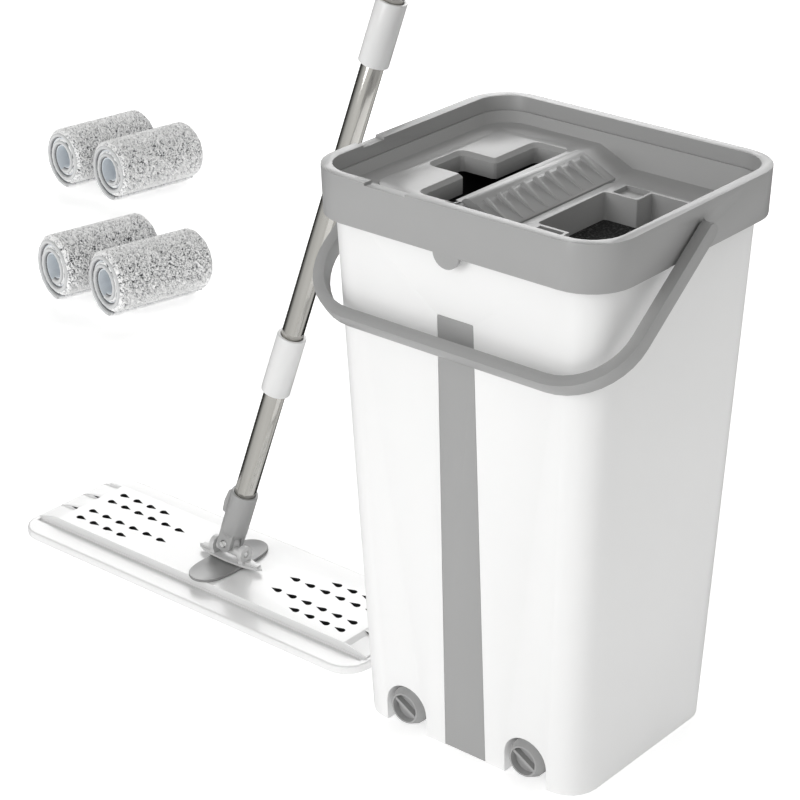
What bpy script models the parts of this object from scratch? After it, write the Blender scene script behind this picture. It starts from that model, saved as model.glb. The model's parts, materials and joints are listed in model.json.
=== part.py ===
"""Flat mop, two-chamber bucket with a wringer insert, and four rolled spare pads. Metres, Z up."""

import math

import bmesh
import bpy
from mathutils import Matrix, Vector

GAP = 0.0003  # between pieces that touch

# Bucket
COLLAR_LENGTH = 0.2300
COLLAR_WIDTH = 0.1995
RIM_HEIGHT = 0.3941
COLLAR_HEIGHT = 0.0313
COLLAR_RADIUS = 0.0306
RIM_BAND = 0.0071
BODY_FOOT = (0.0911, 0.07645)  # half length and half width on the floor
BODY_AT_COLLAR = (0.10525, 0.09135)  # the same under the collar
BODY_TOP = 0.3700
BODY_RADIUS = 0.0216
WALL = 0.0028
STRIP_TOP = 0.3180
STRIP_HALF = (0.0167, 0.0137)  # at the foot and at the top
ARCH_X = 0.0500
ARCH_HALF = 0.0170
ARCH_HEIGHT = 0.0325
ARCH_BACK = -0.0560
KNOB_Z = 0.0165

# Wringer insert
TRAY_TOP = 0.3843
TRAY_SEAT = 0.3725
TRAY_FOOT = 0.3460
DECK_Z = 0.3792
MOAT_HIGH = 0.3773
MOAT_LOW = 0.3678
WELL_DECK_Z = 0.3693
WELL_FLOOR = 0.3375
PAD_TOP = 0.3510
SLOT_HALF = 0.0580
SLOT_X = (-0.0520, -0.0272)
NOTCH_X = -0.0795
NOTCH_HALF = 0.0155
RAMP_HALF = 0.0570
RIB_COUNT = 9
RIB_PITCH = 0.0124

# Carrying handle
HANDLE_Z = 0.3784
HANDLE_HALF = 0.12325
HANDLE_REACH = 0.1295
HANDLE_CORNER = 0.0466
HANDLE_BAR = 0.0076
HANDLE_DEPTH = 0.0103
HANDLE_DROOP = 37.1  # degrees below level

# Mop
PLATE_CENTRE = (-0.2897, -0.0004, 0.0)
PLATE_HALF = (0.1713, 0.0565)
PLATE_RADIUS = 0.0200
FLANGE_TOP = 0.0067
DECK_TOP = 0.0127
DECK_HALF = (0.1470, 0.0352)
HOLE_PITCH = 0.0147
HOLE_START = 0.0615
HOLE_ROWS = ((0.0101, 0, 6), (0.0235, 2, 6))  # offset, first and last column
YOKE_Z = 0.0235
PIVOT_RISE = 0.0060
POLE_OFFSET = 0.0040
POLE_LEAN = 16.2  # degrees along the plate
YOKE_LEAN = 5.7  # degrees across the plate
TUBE_RADIUS = 0.0080
TUBE_WALL = 0.0008
SLEEVE_RADIUS = 0.01075
SLEEVES = ((0.1365, 0.1845), (0.4020, 0.4490), (0.6675, 0.7145), (0.9330, 0.9800))
GRIP = (1.0300, 1.2150)
POLE_TOP = 1.2350

# Rolled pads
ROLL_CORE = 0.0090
ROLL_PITCH = 0.0074
ROLL_LAYER = 0.0068
ROLL_TURNS = 2.05
ROLL_LENGTH = 0.0985
ROLL_SPACING = 0.0640
ROLL_PAIRS = (  # name, centre of the pair, turn in degrees, stagger
    ("pad_front", (-0.7333, 0.3290), -13.2, 0.0182),
    ("pad_back", (-0.9527, 0.5435), -9.8, 0.0144),
)


def remove_everything():
    for obj in list(bpy.data.objects):
        bpy.data.objects.remove(obj)


def new_collection(name):
    group = bpy.data.collections.new(name)
    bpy.context.scene.collection.children.link(group)
    return group


remove_everything()
parts = new_collection("mop_and_bucket")
cutters = new_collection("cutters")


def plastic(name, colour, roughness=0.45, metallic=0.0):
    material = bpy.data.materials.new(name)
    material.use_nodes = True
    shader = material.node_tree.nodes["Principled BSDF"]
    shader.inputs["Base Color"].default_value = (*colour, 1.0)
    shader.inputs["Roughness"].default_value = roughness
    shader.inputs["Metallic"].default_value = metallic
    return material


white = plastic("white_plastic", (0.88, 0.88, 0.88), 0.4)
grey = plastic("grey_plastic", (0.36, 0.36, 0.36), 0.5)
pale = plastic("pale_grey_plastic", (0.60, 0.60, 0.60), 0.5)
dark = plastic("dark_plastic", (0.012, 0.012, 0.012), 0.7)
rubber = plastic("rubber", (0.04, 0.04, 0.04), 0.8)
foam = plastic("filter_foam", (0.03, 0.03, 0.03), 0.95)
gloss = plastic("gloss_white_plastic", (0.86, 0.86, 0.86), 0.25)
steel = plastic("polished_steel", (0.70, 0.69, 0.66), 0.12, 1.0)
chrome = plastic("chrome", (0.85, 0.85, 0.85), 0.06, 1.0)
cloth = plastic("microfibre", (0.55, 0.56, 0.58), 0.95)
hooks = plastic("hook_tape", (0.02, 0.02, 0.02), 0.9)


def empty(name, location, parent=None, rotation=(0.0, 0.0, 0.0)):
    obj = bpy.data.objects.new(name, None)
    obj.location = location
    obj.rotation_euler = [math.radians(angle) for angle in rotation]
    obj.parent = parent
    parts.objects.link(obj)
    return obj


def from_bmesh(name, shape):
    mesh = bpy.data.meshes.new(name)
    shape.to_mesh(mesh)
    shape.free()
    obj = bpy.data.objects.new(name, mesh)
    parts.objects.link(obj)
    return obj


def finish(obj, material, parent, smooth=True):
    """Gives the piece its material and its parent, and its cutters the same parent."""
    obj.data.materials.clear()
    obj.data.materials.append(material)
    obj.parent = parent
    if smooth:
        obj.data.shade_smooth()
        obj.data.set_sharp_from_angle(angle=math.radians(35))
    waiting = [obj]
    while waiting:
        for modifier in waiting.pop().modifiers:
            if modifier.type == "BOOLEAN":
                modifier.object.parent = parent
                waiting.append(modifier.object)
    return obj


def combine(obj, other, operation):
    modifier = obj.modifiers.new(other.name, "BOOLEAN")
    modifier.operation = operation
    modifier.object = other
    modifier.solver = "EXACT"
    parts.objects.unlink(other)
    cutters.objects.link(other)
    other.hide_render = True
    other.display_type = "WIRE"
    return obj


def cut(obj, *others):
    for other in others:
        combine(obj, other, "DIFFERENCE")
    return obj


def join(obj, *others):
    for other in others:
        combine(obj, other, "UNION")
    return obj


def soften(obj, width, segments=2, angle=40):
    bevel = obj.modifiers.new("soft_edges", "BEVEL")
    bevel.width = width
    bevel.segments = segments
    bevel.angle_limit = math.radians(angle)
    return obj


def box(name, low, high):
    shape = bmesh.new()
    bmesh.ops.create_cube(shape, size=1)
    low, high = Vector(low), Vector(high)
    bmesh.ops.scale(shape, vec=high - low, verts=shape.verts)
    bmesh.ops.translate(shape, vec=(high + low) / 2, verts=shape.verts)
    return from_bmesh(name, shape)


def block(name, foot, top, z_low, z_high, radius=0.0, centre=(0.0, 0.0), steps=6):
    """Tapered block with half sizes at its foot and its top, and rounded upright edges."""
    shape = bmesh.new()
    bmesh.ops.create_cube(shape, size=1)
    for vert in shape.verts:
        half = top if vert.co.z > 0 else foot
        vert.co = Vector((
            centre[0] + math.copysign(half[0], vert.co.x),
            centre[1] + math.copysign(half[1], vert.co.y),
            z_high if vert.co.z > 0 else z_low,
        ))
    if radius:
        upright = [e for e in shape.edges if abs(e.verts[0].co.z - e.verts[1].co.z) > 1e-6]
        bmesh.ops.bevel(
            shape, geom=upright, offset=radius, segments=steps, profile=0.5, affect="EDGES"
        )
    return from_bmesh(name, shape)


def cylinder(name, radius, start, end, sides=24, end_radius=None):
    """Solid of round section from one point to another."""
    start, end = Vector(start), Vector(end)
    shape = bmesh.new()
    bmesh.ops.create_cone(
        shape,
        cap_ends=True,
        segments=sides,
        radius1=radius,
        radius2=radius if end_radius is None else end_radius,
        depth=(end - start).length,
    )
    turn = Vector((0, 0, 1)).rotation_difference(end - start).to_matrix().to_4x4()
    bmesh.ops.transform(
        shape, matrix=Matrix.Translation((start + end) / 2) @ turn, verts=shape.verts
    )
    return from_bmesh(name, shape)


def rounded(corners, radii, steps=4):
    """Closed outline with each corner replaced by an arc of its own radius."""
    points = []
    count = len(corners)
    for index, corner in enumerate(corners):
        here = Vector(corner)
        back = (Vector(corners[index - 1]) - here).normalized()
        ahead = (Vector(corners[(index + 1) % count]) - here).normalized()
        radius = radii[index] if isinstance(radii, (list, tuple)) else radii
        if radius <= 0:
            points.append(here)
            continue
        half = back.angle(ahead) / 2
        reach = radius / math.tan(half)
        middle = here + (back + ahead).normalized() * radius / math.sin(half)
        first = here + back * reach - middle
        last = here + ahead * reach - middle
        swing = first.angle_signed(last)
        for step in range(steps + 1):
            angle = -swing * step / steps
            c, s = math.cos(angle), math.sin(angle)
            points.append(middle + Vector((first.x * c - first.y * s, first.x * s + first.y * c)))
    return points


def slab(name, outlines, z_low, z_high, chamfer=0.0, matrix=None):
    """Flat outlines given a thickness along Z; a chamfer widens the middle of the slab."""
    data = bpy.data.curves.new(name, "CURVE")
    data.dimensions = "2D"
    data.fill_mode = "BOTH"
    data.extrude = (z_high - z_low) / 2 - chamfer
    data.bevel_depth = chamfer
    data.bevel_resolution = 0
    data.render_resolution_u = 0
    for outline in outlines:
        spline = data.splines.new("POLY")
        spline.points.add(len(outline) - 1)
        spline.use_cyclic_u = True
        for point, place in zip(spline.points, outline):
            point.co = (place[0], place[1], 0.0, 1.0)
    flat = bpy.data.objects.new(name, data)
    parts.objects.link(flat)
    flat.matrix_world = (matrix or Matrix.Identity(4)) @ Matrix.Translation(
        (0, 0, (z_low + z_high) / 2)
    )
    return as_mesh(flat)


def as_mesh(flat):
    """Mesh object in place of a curve, with its caps welded on."""
    bpy.context.view_layer.update()
    name = flat.name
    mesh = bpy.data.meshes.new_from_object(flat.evaluated_get(bpy.context.evaluated_depsgraph_get()))
    shape = bmesh.new()
    shape.from_mesh(mesh)
    bmesh.ops.remove_doubles(shape, verts=shape.verts, dist=0.000005)
    bmesh.ops.recalc_face_normals(shape, faces=shape.faces)
    shape.transform(flat.matrix_world)
    shape.to_mesh(mesh)
    shape.free()
    bpy.data.objects.remove(flat)
    obj = bpy.data.objects.new(name, mesh)
    parts.objects.link(obj)
    return obj


def side_slab(name, outline, y_low, y_high):
    """Outline in X and Z, given a thickness along Y."""
    stand = Matrix.Rotation(math.radians(90), 4, "X")
    return slab(name, [outline], -y_high, -y_low, matrix=stand)


def tube(name, outer, inner, z_low, z_high, sides=28):
    """Open-ended round tube along Z."""
    obj = cylinder(name, outer, (0, 0, z_low), (0, 0, z_high), sides)
    bore = cylinder(f"{name}_bore", inner, (0, 0, z_low - 0.01), (0, 0, z_high + 0.01), sides)
    return cut(obj, bore)


def body_half(z, inset=0.0):
    """Half length and half width of the bucket's shell at a height."""
    share = z / (RIM_HEIGHT - COLLAR_HEIGHT)
    return tuple(
        foot + (upper - foot) * share - inset for foot, upper in zip(BODY_FOOT, BODY_AT_COLLAR)
    )


def collar_half(inset=0.0):
    return COLLAR_LENGTH / 2 - inset, COLLAR_WIDTH / 2 - inset


def arch(name, centre, grow, y_low, y_high):
    """Round-topped doorway in X and Z, open below the floor."""
    half = ARCH_HALF + grow
    spring = ARCH_HEIGHT - ARCH_HALF
    outline = [(centre - half, -0.01), (centre + half, -0.01)]
    steps = 14
    for step in range(steps + 1):
        angle = math.pi * step / steps
        outline.append((centre + half * math.cos(angle), spring + half * math.sin(angle)))
    return side_slab(name, outline, y_low, y_high)


def strip_block(name, grow, thickness, z_low):
    """Tapered strip that leans with the front wall; its face lies flush with the wall."""
    lean = math.atan2(BODY_AT_COLLAR[1] - BODY_FOOT[1], RIM_HEIGHT - COLLAR_HEIGHT)
    foot, top = STRIP_HALF[0] + grow, STRIP_HALF[1] + grow
    outline = rounded(
        [(-foot, z_low), (foot, z_low), (top, STRIP_TOP + grow), (-top, STRIP_TOP + grow)],
        [0, 0, 0.001, 0.001],
        3,
    )
    stand = Matrix.Translation((0, -BODY_FOOT[1], 0)) @ Matrix.Rotation(
        math.radians(90) + lean, 4, "X"
    )
    outward = 0.0 if grow == 0 else 0.005
    return slab(name, [outline], -thickness, outward, matrix=stand)


def make_bucket(root):
    foot, top = body_half(0.0), body_half(BODY_TOP)
    body = block("bucket_body", foot, top, 0.0, BODY_TOP, BODY_RADIUS)
    floor = 0.0030
    hollow = block(
        "body_hollow",
        body_half(floor, WALL),
        body_half(BODY_TOP + 0.01, WALL),
        floor,
        BODY_TOP + 0.01,
        BODY_RADIUS - WALL,
    )
    cut(body, hollow)
    front = -BODY_FOOT[1]
    for side, name in ((-1, "left"), (1, "right")):
        x = side * ARCH_X
        boss = arch(f"arch_boss_{name}", x, 0.0026, front + 0.0004, ARCH_BACK + 0.0026)
        trim = box(f"boss_trim_{name}", (x - 0.04, -0.09, -0.03), (x + 0.04, 0.0, 0.0001))
        join(body, cut(boss, trim))
        cut(body, arch(f"arch_cut_{name}", x, 0.0, front - 0.02, ARCH_BACK))
        cut(body, cylinder(f"drain_hole_{name}", 0.0066, (x, -0.07, KNOB_Z), (x, -0.04, KNOB_Z)))
    cut(body, strip_block("strip_groove", GAP, 0.0012 + GAP, -0.01))
    finish(body, white, root)

    strip = strip_block("front_strip", 0.0, 0.0012, 0.0008)
    finish(strip, grey, root, smooth=False)

    wall_foot = (0.0010, body_half(floor + GAP, WALL + 0.0004)[1])
    wall_top = (0.0010, body_half(0.3300, WALL + 0.0004)[1])
    divider = block("chamber_divider", wall_foot, wall_top, floor + GAP, 0.3300)
    finish(divider, white, root, smooth=False)


def make_collar(root):
    z_low = RIM_HEIGHT - COLLAR_HEIGHT
    foot = tuple(0.992 * half for half in collar_half())
    collar = block("rim_collar", foot, collar_half(), z_low, RIM_HEIGHT, COLLAR_RADIUS, steps=8)
    tab = cylinder("collar_tab", 0.0102, (0, -0.0989, z_low + 0.0012), (0, -0.0965, z_low + 0.0012))
    join(collar, tab)
    mouth = block(
        "collar_mouth",
        collar_half(RIM_BAND + 0.0007),
        collar_half(RIM_BAND),
        TRAY_SEAT - GAP,
        RIM_HEIGHT + 0.005,
        COLLAR_RADIUS - RIM_BAND,
        steps=8,
    )
    ledge = block("ledge_mouth", (0.1027, 0.0887), (0.1027, 0.0887), 0.35, 0.375, 0.0190)
    skirt = block("skirt_hollow", (0.1117, 0.0963), (0.1117, 0.0963), 0.35, BODY_TOP + GAP, 0.0270)
    cut(collar, mouth, ledge, skirt)
    deep = RIM_HEIGHT - 0.0016
    cut(collar, box("rim_notch_front", (-0.0630, -0.11, deep), (-0.0310, -0.09, 0.41)))
    cut(collar, box("rim_notch_left", (-0.12, -0.0480, deep), (-0.10, -0.0280, 0.41)))
    droop = Matrix.Translation((0, 0, HANDLE_Z)) @ Matrix.Rotation(
        math.radians(HANDLE_DROOP), 4, "X"
    )
    for side, name in ((-1, "left"), (1, "right")):
        face = side * (COLLAR_LENGTH / 2 - 0.0012)
        near, far = sorted((face, side * 0.13))
        groove = box(f"arm_groove_{name}", (near, -0.06, -0.0062), (far, 0.0, 0.0062))
        groove.data.transform(droop)
        cut(collar, groove)
        spot = (side * 0.13, 0, HANDLE_Z)
        cut(collar, cylinder(f"tip_recess_{name}", 0.0062, (face, 0, HANDLE_Z), spot))
        cut(collar, cylinder(f"pin_hole_{name}", 0.0030 + GAP, (side * 0.1092, 0, HANDLE_Z), spot))
    finish(collar, grey, root)


def make_drains(root):
    """Turning knobs at the front, each with a seat ring and a rubber seal behind it."""
    y_back = ARCH_BACK - GAP
    for side, name in ((-1, "left"), (1, "right")):
        place = empty(f"drain_axis_{name}", (side * ARCH_X, 0, KNOB_Z), root)
        seat = cylinder(f"drain_seat_{name}", 0.0135, (0, y_back, 0), (0, y_back - 0.0040, 0))
        cut(seat, cylinder(f"seat_bore_{name}", 0.0100, (0, 0, 0), (0, -0.08, 0)))
        finish(seat, grey, place)
        seal = cylinder(f"drain_seal_{name}", 0.0096, (0, y_back, 0), (0, y_back - 0.0030, 0))
        cut(seal, cylinder(f"seal_bore_{name}", 0.0064, (0, 0, 0), (0, -0.08, 0)))
        finish(seal, rubber, place)
        knob = cylinder(f"drain_knob_{name}", 0.0138, (0, -0.0608, 0), (0, -0.0740, 0), 32)
        nose = cylinder(f"knob_nose_{name}", 0.0138, (0, -0.0738, 0), (0, -0.0795, 0), 32, 0.0110)
        stem = cylinder(f"knob_stem_{name}", 0.0060, (0, -0.0612, 0), (0, -0.0500, 0))
        join(knob, nose, stem)
        cut(knob, box(f"knob_flat_{name}", (-0.03, -0.09, -0.03), (0.03, -0.0600, -0.0108)))
        cup = cylinder(f"knob_cup_{name}", 0.0098, (0, -0.0745, 0), (0, -0.0900, 0))
        ridge = box(f"knob_ridge_{name}", (-0.0100, -0.0785, -0.0011), (0.0100, -0.0735, 0.0011))
        ridge.data.transform(Matrix.Rotation(math.radians(30), 4, "Y"))
        cut(knob, cup)
        join(knob, ridge)
        finish(knob, grey, place)


def cross_outline(grow=0.0):
    """Slot along Y with a notch at its middle, toward -X."""
    left, right, half = SLOT_X[0] - grow, SLOT_X[1] + grow, SLOT_HALF + grow
    notch, reach = NOTCH_HALF + grow, NOTCH_X - grow
    corners = [
        (right, -half), (right, half), (left, half), (left, notch),
        (reach, notch), (reach, -notch), (left, -notch), (left, -half),
    ]
    inner = max(0.0034 - grow, 0.0005)
    return rounded(corners, [0.004, 0.004, 0.004, inner, 0.004, 0.004, inner, 0.004], 3)


def well_outline(grow=0.0):
    """Second opening: narrow toward the ramp, wide away from it."""
    near, step, far = 0.0197 - grow, 0.0445 - grow, 0.0880 + grow
    narrow, wide = 0.0352 + grow, 0.0510 + grow
    corners = [
        (near, -narrow), (step, -narrow), (step, -wide), (far, -wide),
        (far, wide), (step, wide), (step, narrow), (near, narrow),
    ]
    return rounded(corners, [0.003, 0.001, 0.001, 0.007, 0.007, 0.001, 0.001, 0.003], 3)


def floor_outline(drop, z_end):
    """Moat floor in X and Z: level on the left, then a slope, then level again."""
    return [
        (-0.13, MOAT_HIGH - drop), (-0.0215 - drop / 3, MOAT_HIGH - drop),
        (0.0065 - drop / 3, MOAT_LOW - drop), (0.13, MOAT_LOW - drop), (0.13, z_end), (-0.13, z_end),
    ]


def make_tray(root):
    tray = block(
        "wringer_tray", (0.1068, 0.09155), (0.1071, 0.09185), TRAY_SEAT, TRAY_TOP, 0.0232, steps=8
    )
    lower = block(
        "tray_lower", (0.1012, 0.0870), (0.1022, 0.0882), TRAY_FOOT, TRAY_SEAT + 0.0004, 0.0184
    )
    draft = 0.40
    basin_low, basin_high = 0.3600, 0.3880
    basin = block(
        "tray_basin",
        collar_half(0.0093 + draft * (TRAY_TOP - basin_low)),
        collar_half(0.0093 + draft * (TRAY_TOP - basin_high)),
        basin_low,
        basin_high,
        0.0200,
        steps=8,
    )
    combine(basin, side_slab("basin_floor", floor_outline(0.0, 0.42), -0.12, 0.12), "INTERSECT")
    hollow = block("tray_under", (0.0985, 0.0843), (0.0993, 0.0853), 0.3300, 0.3800, 0.0160)
    under_roof = side_slab("under_roof", floor_outline(0.0028, 0.30)[::-1], -0.12, 0.12)
    combine(hollow, under_roof, "INTERSECT")
    deck = block(
        "tray_deck", (0.0300, 0.0665), (0.0300, 0.0665), MOAT_HIGH - 0.001, DECK_Z, 0.0120,
        (-0.0565, 0.0),
    )
    soften(deck, 0.0008)
    island = block(
        "well_deck", (0.0403, 0.0558), (0.0403, 0.0558), MOAT_LOW - 0.001, WELL_DECK_Z, 0.0100,
        (0.0531, 0.0),
    )
    join(tray, lower)
    cut(tray, basin)
    join(tray, deck, island)
    cut(tray, hollow)
    join(tray, slab("slot_shaft", [cross_outline(0.0022)], 0.3660, DECK_Z - 0.0012))
    join(tray, slab("well_shaft", [well_outline(0.0018)], WELL_FLOOR, WELL_DECK_Z - 0.0010))
    chamfer = 0.0026
    funnel = slab("slot_funnel", [cross_outline(0.00006)], DECK_Z - chamfer, DECK_Z + 0.01, chamfer)
    cut(tray, slab("slot_cut", [cross_outline()], 0.3400, DECK_Z + 0.001), funnel)
    cut(tray, slab("well_cut", [well_outline()], WELL_FLOOR + 0.0025, WELL_DECK_Z + 0.001))
    for side, name in ((-1, "near"), (1, "far")):
        low, high = sorted((side * 0.0374, side * 0.0530))
        cut(tray, box(f"corner_pocket_{name}", (0.0240, low, 0.3662), (0.0425, high, 0.38)))
    for column in range(3):
        for row in range(4):
            x, y = 0.0400 + 0.0160 * column, -0.0300 + 0.0200 * row
            hole = cylinder(f"well_hole_{column}{row}", 0.0036, (x, y, 0.33), (x, y, 0.345), 12)
            cut(tray, hole)
    finish(tray, pale, root)


def make_ramp(root):
    """Rounded ridge and a slope with tapering ribs, standing on the tray's sloping floor."""
    rest = 0.0003
    top = [(0.0122, 0.3702), (-0.0100, 0.3806)]
    centre, radius = Vector((-0.0163, 0.3776)), 0.0050
    for step in range(7):
        angle = math.radians(40 + 20 * step)
        top.append((centre.x + radius * math.cos(angle) * 1.2, centre.y + radius * math.sin(angle)))
    top.append((-0.0262, 0.3796))
    base = [
        (-0.0262, DECK_Z + rest), (-0.0215, DECK_Z + rest), (-0.0175, 0.3765 + 0.0009),
        (0.0065, MOAT_LOW + 0.0009), (0.0122, MOAT_LOW + 0.0009),
    ]
    ramp = side_slab("wringing_ramp", base + top, -RAMP_HALF, RAMP_HALF)
    shape = bmesh.new()
    for index in range(RIB_COUNT):
        y = (index - (RIB_COUNT - 1) / 2) * RIB_PITCH
        made = bmesh.ops.create_cube(shape, size=1)["verts"]
        for vert in made:
            high_end = vert.co.x < 0
            half = 0.0021 if high_end else 0.0005
            x = -0.0090 if high_end else 0.0105
            surface = 0.3806 - (x + 0.0100) * (0.3806 - 0.3702) / 0.0222
            rise = (0.0024 if high_end else 0.0003) if vert.co.z > 0 else -0.0010
            vert.co = Vector((x, y + math.copysign(half, vert.co.y), surface + rise))
    bmesh.ops.recalc_face_normals(shape, faces=shape.faces)
    join(ramp, from_bmesh("ramp_ribs", shape))
    finish(ramp, pale, root)


def make_wringer_inside(root):
    centre = (-0.0533, 0)
    chute = block(
        "wringer_chute", (0.0300, 0.0620), (0.0302, 0.0620), 0.2620, 0.3657, 0.0030, centre
    )
    bore = block("chute_bore", (0.0281, 0.0601), (0.0283, 0.0601), 0.25, 0.38, 0.0015, centre)
    finish(cut(chute, bore), dark, root)
    for name, low, high in (("left", -0.0580, -0.0515), ("right", -0.0313, -0.0256)):
        blade = box(f"scraper_blade_{name}", (low, -0.0595, 0.3330), (high, 0.0595, 0.3500))
        finish(soften(blade, 0.0012), rubber, root)
    pad = slab("filter_pad", [well_outline(-0.0004)], WELL_FLOOR + 0.0025 + GAP, PAD_TOP)
    finish(pad, foam, root, smooth=False)


def make_handle(root):
    """U-shaped handle on pins; its plane is the local XY plane and it reaches toward -Y."""
    axis = empty("handle_axis", (0, 0, HANDLE_Z), root, (HANDLE_DROOP, 0, 0))
    outer, inner = HANDLE_HALF, HANDLE_HALF - HANDLE_BAR
    reach, corner = HANDLE_REACH, HANDLE_CORNER
    corners = [
        (outer, 0), (inner, 0), (inner, -reach + HANDLE_BAR), (-inner, -reach + HANDLE_BAR),
        (-inner, 0), (-outer, 0), (-outer, -reach), (outer, -reach),
    ]
    bend = corner - HANDLE_BAR
    outline = rounded(corners, [0, 0, bend, bend, 0, 0, corner, corner], 10)
    half = HANDLE_DEPTH / 2
    handle = slab("bail_handle", [outline], -half, half)
    for side, name in ((-1, "left"), (1, "right")):
        near, far = side * inner, side * outer
        join(handle, cylinder(f"arm_tip_{name}", half - 0.00001, (near, 0, 0), (far, 0, 0), 24))
        end = (side * 0.1220, 0, 0)
        cut(handle, cylinder(f"arm_bore_{name}", 0.0030 + GAP, (side * 0.10, 0, 0), end, 16))
        pin_ends = (side * 0.1096, 0, 0), (side * 0.1217, 0, 0)
        pin = cylinder(f"handle_pin_{name}", 0.0030, *pin_ends, 16)
        finish(pin, grey, axis)
    finish(handle, grey, axis)


def teardrop(x, y, side):
    """Round away from the plate's middle and pointed toward it."""
    radius, length = 0.00265, 0.0098
    points = [(x - side * (length - radius), y)]
    steps = 8
    opening = math.acos(radius / (length - radius))
    for step in range(steps + 1):
        angle = -(math.pi - opening) + 2 * (math.pi - opening) * step / steps
        points.append((x + side * radius * math.cos(angle), y + side * radius * math.sin(angle)))
    return points


def hole_places():
    for side in (-1, 1):
        for row, first, last in HOLE_ROWS:
            for column in range(first, last):
                for across in (-1, 1):
                    yield side * (HOLE_START + HOLE_PITCH * column), across * row, side


def make_plate(head):
    half_x, half_y = PLATE_HALF
    base = block("plate_base", (half_x, half_y), (half_x, half_y), 0.0, FLANGE_TOP, PLATE_RADIUS)
    soften(base, 0.0014, 2)
    for side, name in ((-1, "left"), (1, "right")):
        low, high = sorted((side * 0.0520, side * 0.1460))
        cut(base, box(f"window_{name}", (low, -0.0300, -0.01), (high, 0.0300, 0.02)))
        strip = box(f"hook_strip_{name}", (low + GAP, -0.0297, 0.0006), (high - GAP, 0.0297, 0.0066))
        finish(strip, hooks, head, smooth=False)
    for side, name in ((-1, "front"), (1, "back")):
        low, high = sorted((side * DECK_HALF[1], side * (DECK_HALF[1] + 0.0046)))
        cut(base, box(f"channel_{name}", (-0.1660, low, FLANGE_TOP - 0.0018), (0.1660, high, 0.02)))
    finish(base, gloss, head)

    z_low = FLANGE_TOP + GAP
    end, tail = DECK_HALF[0], 0.1670
    outline = [
        (-end, DECK_TOP), (-end - 0.0035, 0.0100), (-tail, 0.0076), (-tail, z_low),
        (tail, z_low), (tail, 0.0076), (end + 0.0035, 0.0100), (end, DECK_TOP),
    ]
    deck = side_slab("plate_deck", outline, -DECK_HALF[1], DECK_HALF[1])
    for side in (-1, 1):
        for index in range(4):
            y = (index - 1.5) * 0.0234
            low = max(y - 0.0011, -DECK_HALF[1] + 0.00002)
            high = min(y + 0.0011, DECK_HALF[1] - 0.00002)
            fin = side_slab(f"fin_{index}_{side + 1}", fin_outline(side, end, z_low), low, high)
            join(deck, fin)
    holes = [teardrop(*place) for place in hole_places()]
    cut(deck, slab("deck_holes", holes, 0.0, 0.02))
    finish(deck, gloss, head)


def fin_outline(side, end, z_low):
    """Fin that leaves the deck level and curves down to the flange."""
    points = [(side * (end - 0.006), z_low + 0.0002), (side * (end - 0.006), DECK_TOP - 0.0002)]
    steps = 6
    for step in range(steps + 1):
        share = step / steps
        x = end - 0.004 + 0.0255 * share
        drop = (DECK_TOP - 0.0074) * (1 - math.cos(math.pi / 2 * share))
        points.append((side * x, DECK_TOP - 0.0002 - drop))
    points.append((side * (end + 0.0215), z_low + 0.0002))
    return points if side > 0 else points[::-1]


def leaf(length, width, tip, steps=8):
    """Outline of a leaf along X with rounded tips, half length and half width given."""
    points = []
    for end in (1, -1):
        for step in range(steps + 1):
            angle = -math.pi / 2 + math.pi * step / steps
            squeeze = math.copysign(abs(math.sin(angle)) ** tip, math.sin(angle))
            points.append((end * length * math.cos(angle) ** 0.8, end * width * squeeze))
    return [point for index, point in enumerate(points) if index not in (steps, 2 * steps + 1)]


def make_joint(head):
    turn = Matrix.Rotation(math.radians(90), 4, "Z")
    shift = Matrix.Translation((POLE_OFFSET, 0, 0))
    z_leaf = DECK_TOP + GAP
    across = [leaf(0.0335, 0.0140, 1.5)]
    dark_leaf = slab("joint_leaf", across, z_leaf, z_leaf + 0.0022, matrix=shift @ turn)
    finish(soften(dark_leaf, 0.0007), grey, head)

    z_base = z_leaf + 0.0022 + GAP
    base = slab("joint_base", [leaf(0.0320, 0.0068, 1.4)], z_base, z_base + 0.0016, matrix=shift)
    ear_in, ear_out, ear_radius = 0.0122, 0.0162, 0.0063
    for side, name in ((-1, "left"), (1, "right")):
        near, far = POLE_OFFSET + side * ear_in, POLE_OFFSET + side * ear_out
        join(base, cylinder(f"ear_{name}", ear_radius, (near, 0, YOKE_Z), (far, 0, YOKE_Z)))
        low, high = sorted((near, far))
        z_foot = z_base + 0.0008
        foot_low, foot_high = (low + 0.00002, -0.0050, z_foot), (high - 0.00002, 0.0050, YOKE_Z)
        join(base, box(f"ear_foot_{name}", foot_low, foot_high))
        low, high = sorted((far, far + side * 0.012))
        rise_low, rise_high = (low - 0.0003, -0.0022, z_foot), (high + 0.0003, 0.0022, z_foot + 0.0022)
        join(base, box(f"petal_rise_{name}", rise_low, rise_high))
    cut(base, cylinder("ear_bores", 0.0027, (-0.03, 0, YOKE_Z), (0.04, 0, YOKE_Z), 16))
    finish(base, pale, head)

    pin = cylinder(
        "yoke_pin", 0.0024, (POLE_OFFSET - 0.0158, 0, YOKE_Z), (POLE_OFFSET + 0.0158, 0, YOKE_Z), 16
    )
    finish(pin, chrome, head)


def make_yoke(axis):
    """Cross block: a barrel on the first pin and a tongue that carries the rivet."""
    yoke = cylinder("yoke", 0.0037, (-0.0118, 0, 0), (0.0118, 0, 0))
    join(yoke, box("yoke_tongue", (-0.0058, -0.0036, 0), (0.0058, 0.0036, PIVOT_RISE)))
    join(yoke, cylinder("yoke_eye", 0.00581, (0, -0.00361, PIVOT_RISE), (0, 0.00361, PIVOT_RISE)))
    cut(yoke, cylinder("yoke_bore", 0.0027, (-0.02, 0, 0), (0.02, 0, 0), 16))
    cut(yoke, cylinder("eye_bore", 0.0021, (0, -0.02, PIVOT_RISE), (0, 0.02, PIVOT_RISE), 16))
    finish(yoke, pale, axis)


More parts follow.
